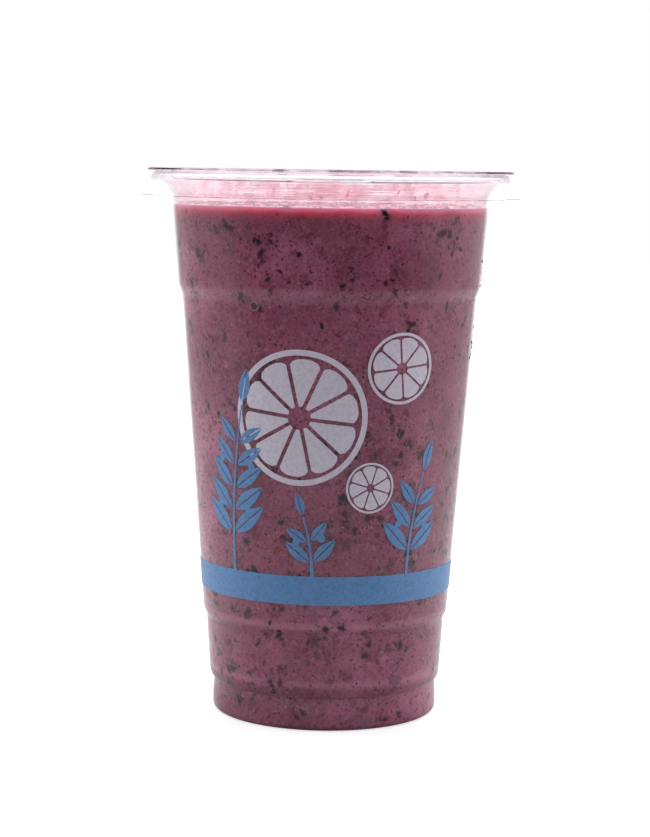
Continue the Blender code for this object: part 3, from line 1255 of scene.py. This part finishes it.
def make_print():
    """A generic fruit design: frosted white citrus slices among blue sprigs that rise from a blue band."""
    blue = ink_material("ink_blue", (0.130, 0.310, 0.63), (0.082, 0.200, 0.41), 0.93)
    white = ink_material("ink_white", (0.92, 0.86, 1.0), (0.75, 0.69, 0.85), 0.76)
    rows = [BAND_LOW + (BAND_HIGH - BAND_LOW) * i / 4 for i in range(5)]
    band = [(float(np.interp(z, WALL.heights, WALL.radii)) + INK_LIFT, z) for z in rows]
    lathe("print_band", band, blue, "clear_cup", closed=False)
    sprigs = sprig(-29.0, BAND_HIGH, 45.0, 5.0, 5, 13.0, 4.7)
    sprigs += sprig(25.0, BAND_HIGH, 27.0, 4.0, 3, 12.0, 4.4)
    sprigs += sprig(-4.0, BAND_HIGH, 16.0, -2.5, 2, 8.8, 3.5)
    sheet_on_wall("print_sprigs", sprigs, blue, 2 * INK_LIFT)
    wheels = citrus_wheel(-7.5, 85.0, 18.0, 10, 0.2)
    wheels += citrus_wheel(19.5, 98.0, 9.5, 8, 0.5)
    wheels += citrus_wheel(12.0, 66.5, 6.8, 8, 0.1)
    sheet_on_wall("print_slices", wheels, white, INK_LIFT)


# Setting


def seen_through(tree):
    """1 where the camera looks on through clear pieces, with nothing between, and 0 elsewhere."""
    light = add(tree, "ShaderNodeLightPath")
    unspread = map_range(tree, light.outputs["Diffuse Depth"], 0.0, 1.0, 1.0, 0.0, smooth=False)
    return times(tree, light.outputs["Is Transmission Ray"], unspread)


def make_floor():
    material, tree, shader = new_material("floor_white")
    where = object_coordinate(tree)
    reach = vector_math(tree, "LENGTH", where).outputs["Value"]
    forward = parts_of(tree, vector_math(tree, "NORMALIZE", where).outputs["Vector"])["Y"]
    limits = (FLOOR_NEAR * MM, FLOOR_FAR * MM)
    away = map_range(tree, reach, *limits)
    beside = mix_colour(tree, away, (0.80, 0.80, 0.81), (0.48, 0.48, 0.49))
    ahead = mix_colour(tree, away, (0.46, 0.46, 0.47), (0.04, 0.04, 0.04))
    front = map_range(tree, forward, 0.0, -0.75)
    seen = add(tree, "ShaderNodeLightPath").outputs["Is Camera Ray"]
    glow = times(tree, seen, map_range(tree, reach, *limits, 0.62, 1.1))
    glow = reckon(tree, "MAXIMUM", glow, map_range(tree, forward, 0.85, 0.97, 0.0, 0.7))
    through = times(tree, seen_through(tree), SEEN_THROUGH * 0.8)
    looks = {
        "Base Color": mix_colour(tree, front, beside, ahead),
        "Roughness": 0.9,
        "Specular IOR Level": 0.0,
        "Emission Color": WHITE,
        "Emission Strength": reckon(tree, "MAXIMUM", glow, through),
    }
    feed(tree, shader, looks)
    corners = [(r, y, CUP_LOW) for r, y in circle(0.0, 0.0, FLOOR_RADIUS)]
    piece_from("floor", corners, [tuple(range(len(corners)))], material, None)


def make_world():
    """Soft white surroundings, dimmer on the camera's side, with a plain white background."""
    world = bpy.data.worlds.new("studio")
    bpy.context.scene.world = world
    world.use_nodes = True
    tree = world.node_tree
    tree.nodes.clear()
    parts = parts_of(tree, add(tree, "ShaderNodeTexCoord").outputs["Generated"])
    brightest = max(light for _, light in SURROUNDINGS)
    stops = [((y + 1) / 2, (light / brightest,) * 3) for y, light in SURROUNDINGS]
    colour = ramp(tree, map_range(tree, parts["Y"], -1.0, 1.0, smooth=False), *stops)
    colour = mix_colour(tree, seen_through(tree), colour, (SEEN_THROUGH / brightest,) * 3, blend="LIGHTEN")
    above = map_range(tree, parts["Z"], 0.1, 1.0, brightest, brightest * OVERHEAD_GAIN)
    lighting = add(tree, "ShaderNodeBackground", {"Color": colour, "Strength": above})
    backdrop = add(tree, "ShaderNodeBackground", {"Color": WHITE})
    seen = add(tree, "ShaderNodeLightPath").outputs["Is Camera Ray"]
    sides = {0: seen, 1: lighting.outputs["Background"], 2: backdrop.outputs["Background"]}
    mix = add(tree, "ShaderNodeMixShader", sides)
    add(tree, "ShaderNodeOutputWorld", {"Surface": mix.outputs["Shader"]})


def make_camera():
    data = bpy.data.cameras.new("camera")
    data.sensor_fit = "VERTICAL"
    data.sensor_height = SENSOR_HEIGHT
    data.lens = FOCAL_PIXELS * SENSOR_HEIGHT / PHOTO_HEIGHT
    data.clip_start = 0.01
    data.clip_end = 50.0
    camera = bpy.data.objects.new("camera", data)
    pitch = Euler((math.radians(90 - CAMERA_PITCH), 0, 0)).to_matrix().to_4x4()
    roll = Matrix.Rotation(math.radians(CAMERA_ROLL), 4, "Z")
    place = Matrix.Translation(Vector((CAMERA_SIDE, -CAMERA_DISTANCE, CAMERA_HEIGHT)) * MM)
    camera.matrix_world = place @ pitch @ roll
    bpy.context.scene.collection.objects.link(camera)
    bpy.context.scene.camera = camera


def set_colours():
    scene = bpy.context.scene
    scene.view_settings.view_transform = "Standard"
    scene.view_settings.look = "None"
    scene.cycles.max_bounces = 22
    scene.cycles.transmission_bounces = 20
    scene.cycles.transparent_max_bounces = 16
    scene.cycles.diffuse_bounces = 4


make_camera()
make_world()
make_floor()
set_colours()
make_cup()
make_lid()
make_drink()
make_bits()
make_films()
make_residue()
make_froth()
make_drips()
make_print()
